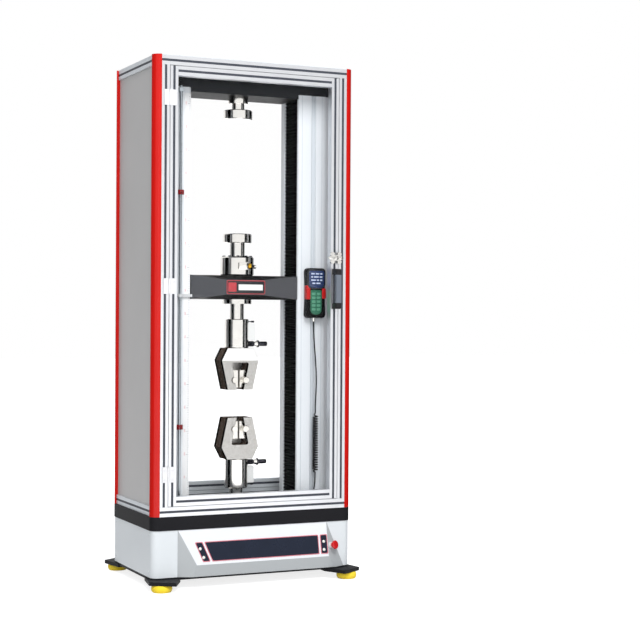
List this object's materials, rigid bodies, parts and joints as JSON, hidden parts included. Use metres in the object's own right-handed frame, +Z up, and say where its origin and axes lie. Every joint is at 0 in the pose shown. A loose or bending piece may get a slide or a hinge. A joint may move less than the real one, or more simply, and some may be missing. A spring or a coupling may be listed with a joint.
{
  "type": "universal testing machine",
  "caption": "Floor-standing universal testing machine with a screw-driven crosshead, wedge grips and platens inside a hinged-door guard enclosure on a box base.",
  "frame": {"origin": "on the floor under the middle of the enclosure, halfway between the feet", "axes": "+Z up, +X to the machine's right as the operator faces it, -Y towards the operator"},
  "size_m": [0.968, 0.738, 2.232],
  "materials": {
    "yellow_rubber": "matte moulded rubber",
    "black_paint": "satin black powder coat",
    "grey_paint": "light grey powder coat",
    "red_paint": "gloss red paint",
    "column_paint": "pale grey paint",
    "panel_film": "navy panel film",
    "black_plastic": "black moulded plastic",
    "red_plastic": "gloss red plastic",
    "white_plastic": "white moulded plastic",
    "extrusion": "clear anodised aluminium",
    "clear_acrylic": "clear acrylic sheet",
    "polished_steel": "polished hard chrome",
    "satin_steel": "ground satin steel",
    "dark_steel": "blackened steel",
    "bellows_cloth": "black coated bellows",
    "cord_rubber": "black cable sheath",
    "stop_red": "dark red paint",
    "hinge_white": "white painted zinc",
    "cast_zinc": "cast bright zinc",
    "motor_paint": "black motor enamel"
  },
  "bodies": {
    "frame": {"foot_pads": "yellow_rubber", "base_frame": "black_paint", "base_cabinet": "grey_paint", "control_console": "grey_paint", "panel_plates": "panel_film", "estop_collar": "black_plastic", "table_plate": "black_paint", "columns": "column_paint", "guide_rods": "polished_steel", "screw_bearings": "satin_steel", "upper_beam": "black_paint", "upper_platen": "polished_steel", "servo_motor": "motor_paint", "drive_belt": "cord_rubber", "corner_posts": "red_paint", "front_frame": "extrusion", "rear_frame": "extrusion", "side_panels": "grey_paint", "rear_panel": "clear_acrylic", "top_cover": "grey_paint", "upper_bellows": "bellows_cloth", "lower_bellows": "bellows_cloth", "limit_rod": "polished_steel", "pendant_holder": "dark_steel", "pendant_body": "black_plastic", "cord_lead": "cord_rubber", "cord_coil": "cord_rubber", "cord_socket": "satin_steel", "lower_grip_stem": "polished_steel", "lower_grip_cylinder": "polished_steel", "lower_grip_body": "satin_steel", "lower_grip_block": "white_plastic", "hinge_frame_leaves": "hinge_white"},
    "door": {"door_frame": "extrusion", "door_pane": "clear_acrylic", "hinge_door_leaves": "hinge_white", "door_handle": "black_plastic"},
    "latch": {"latch_knob": "cast_zinc"},
    "crosshead": {"crosshead_beam": "black_paint", "crosshead_cover": "black_paint", "ball_nuts": "satin_steel", "load_cell": "polished_steel", "lower_platen": "polished_steel", "upper_grip_stem": "polished_steel", "upper_grip_cylinder": "polished_steel", "upper_grip_body": "satin_steel", "upper_grip_block": "white_plastic", "limit_arm": "satin_steel"},
    "left_screw": {"left_screw": "satin_steel"},
    "right_screw": {"right_screw": "satin_steel"},
    "motor_pulley": {"motor_pulley": "satin_steel"},
    "estop_button": {"estop_button": "red_plastic"},
    "upper_stop": {"upper_stop_collar": "stop_red"},
    "lower_stop": {"lower_stop_collar": "stop_red"},
    "upper_grip_lever": {"upper_grip_lever": "dark_steel"},
    "upper_jaw_left": {"upper_jaw_left": "satin_steel"},
    "upper_jaw_right": {"upper_jaw_right": "satin_steel"},
    "lower_grip_lever": {"lower_grip_lever": "dark_steel"},
    "lower_jaw_left": {"lower_jaw_left": "satin_steel"},
    "lower_jaw_right": {"lower_jaw_right": "satin_steel"}
  },
  "joints": [
    {"name": "crosshead_travel", "type": "slide", "parent": "frame", "child": "crosshead", "axis": [0, 0, 1], "range_m": [-0.1, 0.41], "deforming": ["upper_bellows", "lower_bellows"]},
    {"name": "left_screw_turn", "type": "hinge", "parent": "frame", "child": "left_screw", "pos_m": [-0.33, -0.088, 0.3], "axis": [0, 0, 1], "range_deg": [-3610, 14770]},
    {"name": "right_screw_turn", "type": "hinge", "parent": "frame", "child": "right_screw", "pos_m": [0.33, -0.088, 0.3], "axis": [0, 0, 1], "range_deg": [-3610, 14770]},
    {"name": "motor_turn", "type": "hinge", "parent": "frame", "child": "motor_pulley", "pos_m": [0, 0.11, 0.09], "axis": [0, 0, 1], "range_deg": [-6010, 24610]},
    {"name": "door_swing", "type": "hinge", "parent": "frame", "child": "door", "pos_m": [-0.391, -0.2786, 1.267], "axis": [0, 0, -1], "range_deg": [0, 110]},
    {"name": "latch_turn", "type": "hinge", "parent": "door", "child": "latch", "pos_m": [0.3725, -0.272, 1.4], "axis": [0, 1, 0], "range_deg": [0, 90]},
    {"name": "estop_press", "type": "slide", "parent": "frame", "child": "estop_button", "axis": [-0.4392, 0.8784, -0.1882], "range_m": [0, 0.004], "stiffness_N_per_m": 1500},
    {"name": "upper_stop_slide", "type": "slide", "parent": "frame", "child": "upper_stop", "axis": [0, 0, 1], "range_m": [-0.2, 0.2]},
    {"name": "lower_stop_slide", "type": "slide", "parent": "frame", "child": "lower_stop", "axis": [0, 0, 1], "range_m": [-0.2, 0.2]},
    {"name": "upper_grip_lever_turn", "type": "hinge", "parent": "crosshead", "child": "upper_grip_lever", "pos_m": [0.052, -0.056, 1.021], "axis": [1, 0, 0], "range_deg": [-50, 90]},
    {"name": "upper_jaw_left_slide", "type": "slide", "parent": "crosshead", "child": "upper_jaw_left", "axis": [-0.2079, 0, 0.9781], "range_m": [-0.0093, 0.0168]},
    {"name": "upper_jaw_right_slide", "type": "slide", "parent": "crosshead", "child": "upper_jaw_right", "axis": [0.2079, 0, 0.9781], "range_m": [-0.0095, 0.017]},
    {"name": "lower_grip_lever_turn", "type": "hinge", "parent": "frame", "child": "lower_grip_lever", "pos_m": [0.052, -0.056, 0.499], "axis": [1, 0, 0], "range_deg": [-50, 90]},
    {"name": "lower_jaw_left_slide", "type": "slide", "parent": "frame", "child": "lower_jaw_left", "axis": [-0.2079, 0, -0.9781], "range_m": [-0.0093, 0.0168]},
    {"name": "lower_jaw_right_slide", "type": "slide", "parent": "frame", "child": "lower_jaw_right", "axis": [0.2079, 0, -0.9781], "range_m": [-0.0095, 0.017]}
  ],
  "couplings": [
    {"joint": "left_screw_turn", "follows": "crosshead_travel", "rad_per_m": 628.32},
    {"joint": "right_screw_turn", "follows": "crosshead_travel", "rad_per_m": 628.32},
    {"joint": "motor_turn", "follows": "crosshead_travel", "rad_per_m": 1047.2},
    {"joint": "upper_grip_lever_turn", "follows": "upper_jaw_left_slide", "rad_per_m": 93.458},
    {"joint": "upper_jaw_right_slide", "follows": "upper_jaw_left_slide", "ratio": 1},
    {"joint": "lower_grip_lever_turn", "follows": "lower_jaw_left_slide", "rad_per_m": 93.458},
    {"joint": "lower_jaw_right_slide", "follows": "lower_jaw_left_slide", "ratio": 1}
  ]
}
